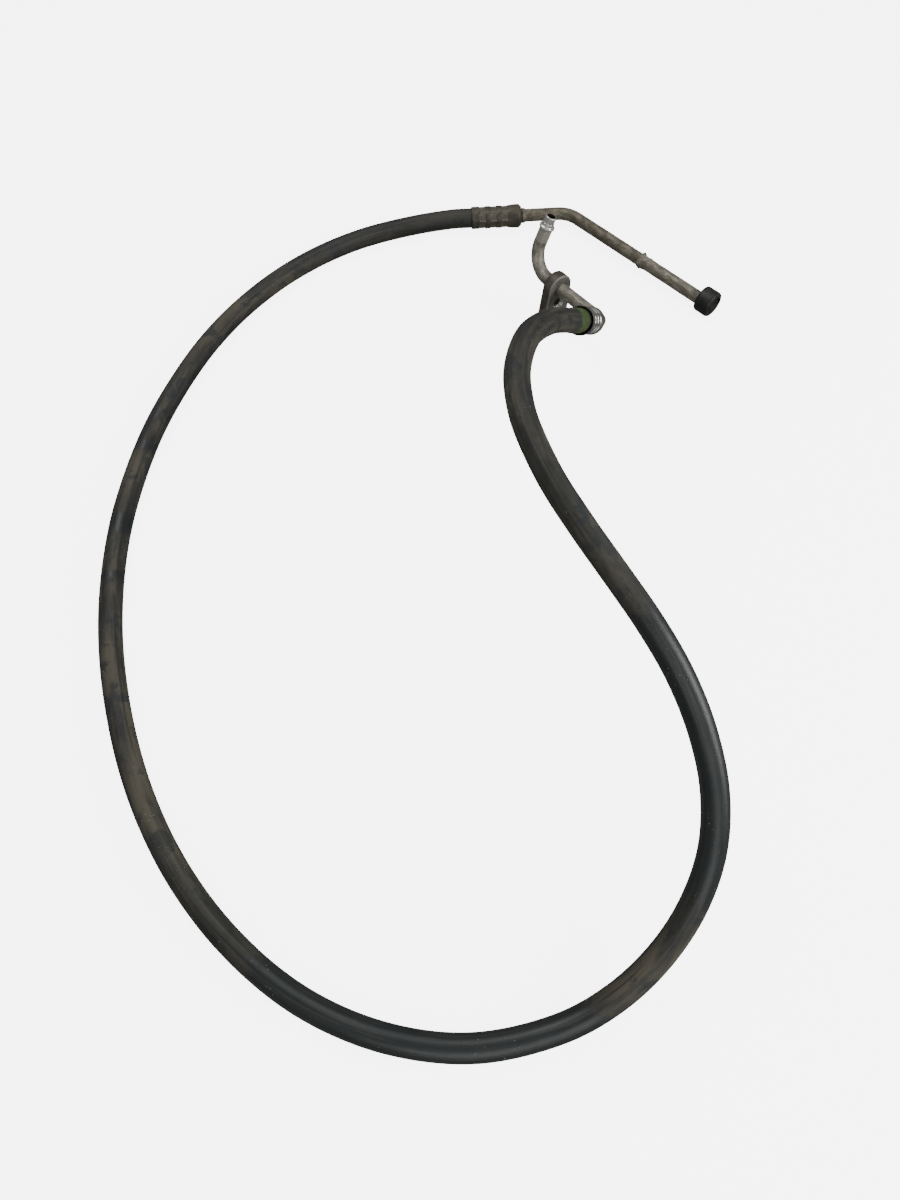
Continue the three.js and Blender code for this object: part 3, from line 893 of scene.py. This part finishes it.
# %% Finishes
class Finish:
    """A material with a Principled shader, and the one method that adds nodes to it."""

    def __init__(self, name, **shader):
        self.material = bpy.data.materials.new(name)
        self.material.use_nodes = True
        self.tree = self.material.node_tree
        self.shader = self.tree.nodes["Principled BSDF"]
        for socket, value in shader.items():
            self.shader.inputs[socket.replace("_", " ")].default_value = value

    def node(self, kind, settings=None, inputs=None):
        made = self.tree.nodes.new(kind)
        for key, value in (settings or {}).items():
            setattr(made, key, value)
        for key, value in (inputs or {}).items():
            self.feed(made.inputs[key], value)
        return made

    def feed(self, socket, value):
        if isinstance(value, Level):
            value = value.socket
        if isinstance(value, bpy.types.NodeSocket):
            self.tree.links.new(value, socket)
        else:
            socket.default_value = value

    def skin(self, scale=(1.0, 1.0, 1.0), shift=(0.0, 0.0, 0.0)):
        """The straightened piece's coordinates in metres, stretched by scale and then shifted."""
        place = self.node("ShaderNodeAttribute", {"attribute_name": "skin"})
        inputs = {"Vector": place.outputs["Vector"], "Scale": scale, "Location": shift}
        return self.node("ShaderNodeMapping", {}, inputs).outputs[0]

    def value(self, attribute):
        """A number that the mesh carries at its points."""
        return Level(self, self.node("ShaderNodeAttribute", {"attribute_name": attribute}).outputs["Fac"])

    def along(self):
        """Distance along the straightened piece, or depth in the plate, in metres."""
        place = self.node("ShaderNodeAttribute", {"attribute_name": "skin"})
        parts = self.node("ShaderNodeSeparateXYZ", {}, {0: place.outputs["Vector"]})
        return Level(self, parts.outputs["Z"])

    def radius(self, shift=(0.0, 0.0, 0.0)):
        """Distance from the axis of the straightened piece, or from an axis beside it."""
        place = self.skin((1.0, 1.0, 0.0), shift)
        node = self.node("ShaderNodeVectorMath", {"operation": "LENGTH"}, {0: place})
        return Level(self, node.outputs["Value"])

    def stretches(self, along, places, soft):
        """1 inside the given stretches of the piece's length, 0 outside them."""
        total = 0.0
        for start, end in places:
            inside = along.step(start - soft, start + soft) * (1.0 - along.step(end - soft, end + soft))
            total = total + inside
        return total

    def noise(self, where, scale, detail=4.0, roughness=0.55, distortion=0.0):
        inputs = {"Vector": where, "Scale": scale, "Detail": detail}
        inputs.update({"Roughness": roughness, "Distortion": distortion})
        return Level(self, self.node("ShaderNodeTexNoise", {}, inputs).outputs[0])

    def spots(self, where, scale, low, high):
        """Small scattered dots: 1 inside a dot."""
        cells = self.node("ShaderNodeTexVoronoi", {}, {"Vector": where, "Scale": scale})
        return 1.0 - Level(self, cells.outputs["Distance"]).step(low, high)

    def mix(self, amount, a, b):
        node = self.node("ShaderNodeMix", {"data_type": "RGBA"})
        self.feed(node.inputs[0], amount)
        self.feed(node.inputs[6], a)
        self.feed(node.inputs[7], b)
        return node.outputs[2]

    def bump(self, height, distance, strength=1.0, under=None):
        inputs = {"Height": height, "Distance": distance, "Strength": strength}
        if under is not None:
            inputs["Normal"] = under
        return self.node("ShaderNodeBump", {}, inputs).outputs[0]

    def paint(self, colour=None, roughness=None, metallic=None, normal=None):
        wanted = {"Base Color": colour, "Roughness": roughness, "Metallic": metallic, "Normal": normal}
        for socket, value in wanted.items():
            if value is not None:
                self.feed(self.shader.inputs[socket], value)
        return self.material


def dress(piece, material):
    piece.data.materials.clear()
    piece.data.materials.append(material)
    print(piece.name, "wears", material.name, "with", len(material.node_tree.nodes), "nodes")


# %% [markdown]
# The hose is old rubber. Most of it is charcoal with brownish dust in long drifts. Along the bottom
# and on the right hands have wiped it to a bluish black with a faint sheen, and a few short dark
# bands cross its left side. Thin marks run along it, with a few pale specks and short scuffs.

# %% Dusty rubber
CLEAN_STRETCHES = [(0.545, 0.556), (0.59, 0.602), (0.69, 0.713), (0.765, 0.777), (1.20, 1.50), (1.63, 1.88)]
DUSTY_STRETCHES = [(0.28, 0.68), (0.72, 1.12), (1.51, 1.60), (1.92, 1.99), (2.03, 2.30)]
CHARCOAL = (0.012, 0.013, 0.0115, 1)
BROWN_DUST = (0.082, 0.074, 0.054, 1)
THIN_DUST = (0.075, 0.072, 0.058, 1)
WIPED_BLACK = (0.01, 0.0155, 0.0185, 1)
PALE_STREAK = (0.09, 0.085, 0.07, 1)
DARK_MARK = (0.009, 0.009, 0.009, 1)
DUSTY_GRAIN = (0.12, 0.115, 0.105, 1)
SCUFF = (0.25, 0.245, 0.225, 1)
PALE_SPECK = (0.34, 0.33, 0.29, 1)


def hose_rubber():
    f = Finish("dusty_rubber", Metallic=0.0, Specular_IOR_Level=0.4)
    even = f.skin()
    blotches = f.noise(f.skin((44.0, 44.0, 40.0)), 1.0, 4.0, 0.6, 0.5)
    drifts = f.noise(f.skin((60.0, 60.0, 9.0)), 1.0, 5.0, 0.62)
    streaks = f.noise(f.skin((420.0, 420.0, 9.0)), 1.0, 4.0, 0.6)
    marks = f.noise(f.skin((260.0, 260.0, 5.0)), 1.0, 2.0, 0.5)
    grain = f.noise(even, 1400.0, 3.0, 0.7)
    specks = f.spots(even, 230.0, 0.04, 0.12) * f.noise(even, 30.0, 3.0).step(0.52, 0.62)
    scratches = f.noise(f.skin((140.0, 380.0, 700.0)), 1.0, 3.0, 0.6, 1.5).step(0.66, 0.78)
    ragged = f.along() + 0.05 * (blotches - 0.5)
    clean = f.stretches(ragged, CLEAN_STRETCHES, 0.006)
    dusty = f.stretches(ragged, DUSTY_STRETCHES, 0.03)
    dust = drifts.step(0.38, 0.64) * (0.3 + 0.7 * dusty) * (1.0 - 0.75 * clean)
    wiped = 0.6 * clean + 0.65 * blotches.step(0.52, 0.62) * (1.0 - clean)
    colour = f.mix(dust, CHARCOAL, BROWN_DUST)
    colour = f.mix(blotches.step(0.35, 0.55) * 0.15, colour, THIN_DUST)
    colour = f.mix(wiped, colour, WIPED_BLACK)
    colour = f.mix(streaks.step(0.5, 0.74) * 0.35, colour, PALE_STREAK)
    colour = f.mix(marks.step(0.6, 0.68) * 0.6, colour, DARK_MARK)
    colour = f.mix(grain.step(0.55, 0.8) * 0.25, colour, DUSTY_GRAIN)
    colour = f.mix(scratches * blotches.step(0.42, 0.6) * 0.5, colour, SCUFF)
    colour = f.mix(specks * 0.85, colour, PALE_SPECK)
    rough = 0.6 + 0.2 * dust - 0.18 * clean + 0.16 * (grain - 0.5)
    low = f.bump(streaks, 0.00014, 0.6)
    normal = f.bump(grain, 0.00006, 0.7, low)
    return f.paint(colour, rough, None, normal)


dress(hose, hose_rubber())

# %% [markdown]
# The pipes are plain aluminium that has weathered. Oxide has made them grey-brown and mottled,
# with lighter and pinkish clouds, fine scratches along the pipe and small dark pits. The end of
# pipe B under the spigot is cleaner, with a ragged edge where the clean metal stops.

# %% Weathered pipe
PINK_CLOUD = (0.17, 0.125, 0.105, 1)
BRIGHT_SCRATCH = (0.34, 0.32, 0.28, 1)
PALE_GRAIN = (0.36, 0.34, 0.3, 1)
DARK_PIT = (0.03, 0.026, 0.022, 1)
CLEAN_METAL = (0.42, 0.4, 0.36, 1)
CLEAN_EDGE = 0.0006


def weathered_pipe(name, dark, light, metal, rough_base, clean_from=None):
    f = Finish(name)
    clouds = f.noise(f.skin((150.0, 150.0, 70.0)), 1.0, 6.0, 0.68, 0.6)
    fine = f.noise(f.skin(), 620.0, 5.0, 0.7)
    pink = f.noise(f.skin((70.0, 70.0, 30.0)), 1.0, 3.0, 0.5)
    scratches = f.noise(f.skin((900.0, 900.0, 40.0)), 1.0, 3.0, 0.6)
    pits = f.spots(f.skin(), 420.0, 0.08, 0.2)
    light_cloud = clouds.step(0.4, 0.68)
    colour = f.mix(light_cloud, dark, light)
    colour = f.mix(pink.step(0.55, 0.75) * 0.35, colour, PINK_CLOUD)
    colour = f.mix(scratches.step(0.55, 0.8) * 0.35, colour, BRIGHT_SCRATCH)
    colour = f.mix(fine.step(0.52, 0.76) * 0.3, colour, PALE_GRAIN)
    colour = f.mix(pits * 0.5, colour, DARK_PIT)
    rough = rough_base + 0.16 * (1.0 - light_cloud) + 0.15 * (fine - 0.5)
    if clean_from is not None:
        ragged = f.along() + 0.006 * (clouds - 0.5)
        cleaned = ragged.step(clean_from - CLEAN_EDGE, clean_from + CLEAN_EDGE)
        colour = f.mix(cleaned * 0.6, colour, CLEAN_METAL)
        rough = rough - 0.1 * cleaned
    low = f.bump(scratches, 0.00006, 0.5)
    normal = f.bump(fine, 0.0001, 0.7, low)
    return f.paint(colour, rough, metal, normal)


PIPE_A_DARK = (0.08, 0.069, 0.046, 1)
PIPE_A_LIGHT = (0.18, 0.163, 0.122, 1)
TAIL_DARK = (0.105, 0.093, 0.068, 1)
TAIL_LIGHT = (0.26, 0.24, 0.192, 1)
PIPE_B_DARK = (0.15, 0.137, 0.106, 1)
PIPE_B_LIGHT = (0.36, 0.34, 0.29, 1)
CLEAN_END = 0.016

pipe_a_finish = weathered_pipe("weathered_pipe_a", PIPE_A_DARK, PIPE_A_LIGHT, 0.15, 0.52)
dress(pipe_a, pipe_a_finish)
tail_finish = weathered_pipe("weathered_straight_end", TAIL_DARK, TAIL_LIGHT, 0.15, 0.52)
dress(pipe_a_tail, tail_finish)
clean_from = line_length(line_b) - CLEAN_END
pipe_b_finish = weathered_pipe("weathered_pipe_b", PIPE_B_DARK, PIPE_B_LIGHT, 0.25, 0.42, clean_from)
dress(pipe_b, pipe_b_finish)

# %% [markdown]
# The ferrules are a darker, grimy aluminium. On ferrule A the press jaws have left brighter metal in the
# pockets and a worn line at their edges. On ferrule B the pockets and their edges are painted near white, a
# painted highlight of the crimp facets. The mesh's pocket mark drives the colour, the gloss and how
# metallic it looks.

# %% Grimy ferrules
RUBBED_GRAIN = (0.2, 0.19, 0.165, 1)


def grimy_ferrule(name, dark, light, bright, pocket_shine, edge_shine):
    f = Finish(name)
    clouds = f.noise(f.skin((90.0, 90.0, 90.0)), 1.0, 5.0, 0.6, 0.3)
    grain = f.noise(f.skin(), 520.0, 4.0, 0.65)
    around = f.noise(f.skin((60.0, 60.0, 900.0)), 1.0, 3.0, 0.6)
    wear_and_highlight = f.value("wear_and_highlight")
    edge = wear_and_highlight * (1.0 - wear_and_highlight) * 4.0
    # On ferrule B this mix paints a highlight into the pockets and along their edges; on ferrule A it is
    # wear.
    shine = (wear_and_highlight * pocket_shine + edge * edge_shine) * (0.45 + 0.9 * clouds)
    colour = f.mix(clouds.step(0.38, 0.68), dark, light)
    colour = f.mix(grain.step(0.52, 0.8) * 0.3, colour, RUBBED_GRAIN)
    colour = f.mix(shine, colour, bright)
    rough = 0.52 + 0.2 * (clouds - 0.5) + 0.2 * (grain - 0.5) - 0.22 * shine
    metal = 0.15 + 0.75 * shine
    low = f.bump(around, 0.00006, 0.4)
    normal = f.bump(grain, 0.00012, 0.6, low)
    return f.paint(colour, rough, metal, normal)


GRIME_A = (0.036, 0.031, 0.021, 1)
METAL_A = (0.075, 0.066, 0.046, 1)
WORN_A = (0.3, 0.28, 0.235, 1)
GRIME_B = (0.06, 0.056, 0.047, 1)
METAL_B = (0.15, 0.142, 0.125, 1)
# Ferrule B's pocket colour is near white: a painted highlight of the crimp facets.
PAINTED_HIGHLIGHT_B = (0.92, 0.91, 0.88, 1)
finish_a = grimy_ferrule("grimy_ferrule_a", GRIME_A, METAL_A, WORN_A, pocket_shine=0.1, edge_shine=0.42)
finish_b = grimy_ferrule("grimy_ferrule_b", GRIME_B, METAL_B, PAINTED_HIGHLIGHT_B, pocket_shine=0.95, edge_shine=0.3)
dress(ferrule_a, finish_a)
dress(ferrule_b, finish_b)

# %% [markdown]
# The plate is cast, so its skin is a fine even grain, darker and browner on its sides than on its front.
# Its front face is greyer, its chamfered front edge is painted lighter all round as a painted highlight,
# and the countersink was cut bright.

# %% Cast plate
SIDE_DARK = (0.045, 0.039, 0.028, 1)
SIDE_LIGHT = (0.092, 0.082, 0.062, 1)
FACE_DARK = (0.08, 0.077, 0.068, 1)
FACE_LIGHT = (0.14, 0.135, 0.12, 1)
CHAMFER_HIGHLIGHT = (0.26, 0.25, 0.22, 1)
CAST_GRAIN = (0.2, 0.19, 0.17, 1)
FRESH_CUT = (0.2, 0.197, 0.18, 1)
FRONT_DEPTHS = (-0.0003, -0.0001)
BAND_DEPTHS = (-0.0021, -0.0017)
SINK_RADII = (0.0082, 0.0084)
SINK_DEPTHS = (-0.0034, -0.0031)


def cast_plate():
    f = Finish("cast_plate")
    clouds = f.noise(f.skin(), 75.0, 5.0, 0.6, 0.3)
    grain = f.noise(f.skin(), 900.0, 4.0, 0.65)
    depth = f.along()
    front = depth.step(*FRONT_DEPTHS)
    chamfer_highlight = depth.step(*BAND_DEPTHS) * (1.0 - front)
    from_bolt = f.radius((0.0, BOLT_BELOW_PIPE * MM, 0.0))
    countersink = (1.0 - from_bolt.step(*SINK_RADII)) * depth.step(*SINK_DEPTHS)
    colour = f.mix(clouds.step(0.38, 0.7), SIDE_DARK, SIDE_LIGHT)
    face = f.mix(clouds.step(0.36, 0.66), FACE_DARK, FACE_LIGHT)
    colour = f.mix(front, colour, face)
    # Painted highlight: the chamfered front edge is painted lighter all round.
    colour = f.mix(chamfer_highlight * (0.35 + 0.5 * clouds), colour, CHAMFER_HIGHLIGHT)
    colour = f.mix(grain.step(0.54, 0.8) * 0.3, colour, CAST_GRAIN)
    colour = f.mix(countersink, colour, FRESH_CUT)
    rough = 0.52 + 0.2 * (clouds - 0.5) + 0.2 * (grain - 0.5) - 0.2 * countersink
    metal = 0.15 + 0.3 * countersink
    normal = f.bump(grain, 0.00014, 0.7)
    return f.paint(colour, rough, metal, normal)


dress(flange_plate, cast_plate())

# %% [markdown]
# The spigot is bright because it was turned and has stayed clean: fine rings round it catch the light, and
# a few stains run along it. Its bore is painted near black as painted shade.

# %% Bright spigot
BRIGHT_METAL = (0.8, 0.79, 0.76, 1)
STAINED_METAL = (0.27, 0.25, 0.22, 1)
BORE_SHADE = (0.03, 0.025, 0.019, 1)
BORE_EDGE = (0.0053, 0.0055)


def turned_metal():
    f = Finish("turned_aluminium", Metallic=0.9)
    rings = f.noise(f.skin((20.0, 20.0, 2600.0)), 1.0, 2.0, 0.5)
    runs = f.noise(f.skin((330.0, 330.0, 40.0)), 1.0, 4.0, 0.6)
    colour = f.mix(runs.step(0.46, 0.66) * 0.6, BRIGHT_METAL, STAINED_METAL)
    # Painted shade: the bore is painted near black.
    inside = 1.0 - f.radius().step(*BORE_EDGE)
    colour = f.mix(inside, colour, BORE_SHADE)
    rough = 0.3 + 0.2 * (runs - 0.4) + 0.4 * inside
    return f.paint(colour, rough, None, f.bump(rings, 0.00003, 0.5))


dress(end_fitting, turned_metal())

# %% [markdown]
# The cap and the sleeve are matt plastic. The cap is nearly black with a faint cloudiness, and the
# sleeve's green has faded unevenly.

# %% Black cap and green sleeve
CAP_BLACK = (0.011, 0.011, 0.0105, 1)
CAP_RUBBED = (0.027, 0.026, 0.023, 1)
DEEP_GREEN = (0.046, 0.078, 0.02, 1)
FADED_GREEN = (0.078, 0.108, 0.04, 1)


def moulded_plastic():
    f = Finish("black_moulded_plastic", Specular_IOR_Level=0.35)
    cloud = f.noise(f.skin(), 90.0, 4.0, 0.6)
    grain = f.noise(f.skin(), 1500.0, 3.0, 0.6)
    colour = f.mix(cloud.step(0.4, 0.75), CAP_BLACK, CAP_RUBBED)
    rough = 0.5 + 0.2 * (cloud - 0.5)
    return f.paint(colour, rough, None, f.bump(grain, 0.00006, 0.5))


def faded_green():
    f = Finish("faded_green_sleeve", Specular_IOR_Level=0.3)
    cloud = f.noise(f.skin((160.0, 160.0, 80.0)), 1.0, 4.0, 0.6)
    grain = f.noise(f.skin(), 1200.0, 3.0, 0.6)
    colour = f.mix(cloud.step(0.4, 0.7), DEEP_GREEN, FADED_GREEN)
    return f.paint(colour, 0.6 + 0.2 * (grain - 0.5), None, f.bump(grain, 0.00005, 0.5))


dress(end_cap, moulded_plastic())
dress(marker_sleeve, faded_green())

# %% [markdown]
# The floor is plain white and glows, like a light table, so it stays white behind the dark rubber.
# It is a wide disc that curves up into a wall all round, so the sides and the back have the same
# plain background. It throws no light back on the hose, whose sides stay dark.

# %% Floor
FLOOR_SIDES = 96
FLOOR_PROFILE = [(6.0, 0.0), (6.4, 0.1), (6.7, 0.4), (6.85, 0.9), (6.9, 6.0)]
FLOOR_GLOW = 5.5


def make_floor():
    verts = []
    for reach, height in FLOOR_PROFILE:
        for k in range(FLOOR_SIDES):
            angle = TURN * k / FLOOR_SIDES
            verts.append((reach * math.cos(angle), reach * math.sin(angle), height))
    faces = [tuple(range(FLOOR_SIDES))]
    for i in range(len(FLOOR_PROFILE) - 1):
        for k in range(FLOOR_SIDES):
            n = (k + 1) % FLOOR_SIDES
            low = i * FLOOR_SIDES
            high = low + FLOOR_SIDES
            faces.append((low + k, high + k, high + n, low + n))
    mesh = bpy.data.meshes.new("floor")
    mesh.from_pydata(verts, [], faces)
    mesh.shade_smooth()
    body = bpy.data.objects.new("floor", mesh)
    scene.collection.objects.link(body)
    return body


FLOOR_WHITE = (0.92, 0.92, 0.92, 1)
PURE_WHITE = (1.0, 1.0, 1.0, 1)
floor = make_floor()
floor_finish = Finish("pale_floor", Roughness=0.9, Emission_Strength=FLOOR_GLOW)
floor_finish.shader.inputs["Base Color"].default_value = FLOOR_WHITE
floor_finish.shader.inputs["Emission Color"].default_value = PURE_WHITE
floor.data.materials.append(floor_finish.material)
floor.visible_diffuse = False
floor.visible_glossy = False
print("floor", len(floor.data.polygons), "faces")

# %% [markdown]
# The sky is faint and white, and brightest straight above. A smooth ramp on the height of the
# direction looked in sets its strength.

# %% Sky
SKY_BELOW = 0.22
SKY_ABOVE = 0.4
RAMP_FROM = -0.1
RAMP_TO = 1.0

world = bpy.data.worlds.new("soft_sky")
world.use_nodes = True
sky = world.node_tree
direction = sky.nodes.new("ShaderNodeTexCoord")
height = sky.nodes.new("ShaderNodeSeparateXYZ")
level = sky.nodes.new("ShaderNodeMapRange")
level.interpolation_type = "SMOOTHSTEP"
level.inputs["From Min"].default_value = RAMP_FROM
level.inputs["From Max"].default_value = RAMP_TO
level.inputs["To Min"].default_value = SKY_BELOW
level.inputs["To Max"].default_value = SKY_ABOVE
sky.nodes["Background"].inputs["Color"].default_value = PURE_WHITE
sky.links.new(direction.outputs["Generated"], height.inputs[0])
sky.links.new(height.outputs["Z"], level.inputs["Value"])
sky.links.new(level.outputs[0], sky.nodes["Background"].inputs["Strength"])
scene.world = world
print("sky strength from", SKY_BELOW, "to", SKY_ABOVE)

# %% [markdown]
# Three large square lamps do the rest: one above and behind, one to the right that gives the clean
# rubber its sheen, and one in front. Large lamps make soft, broad highlights on round things.

# %% Lamps
def softbox(name, location, target, size, watts):
    data = bpy.data.lights.new(name, "AREA")
    data.shape = "SQUARE"
    data.size = size
    data.energy = watts
    lamp = bpy.data.objects.new(name, data)
    lamp.location = location
    lamp.rotation_euler = (Vector(target) - Vector(location)).to_track_quat("-Z", "Y").to_euler()
    scene.collection.objects.link(lamp)
    print(name, watts, "W")


softbox("key_softbox", location=(-0.5, 0.9, 1.9), target=(0, 0, 0), size=1.0, watts=19.0)
softbox("side_softbox", location=(1.7, -0.4, 0.9), target=(0.2, -0.2, 0.1), size=0.8, watts=24.0)
softbox("front_softbox", location=(0.3, -1.9, 0.9), target=(0.1, 0.3, 0.1), size=1.2, watts=14.0)
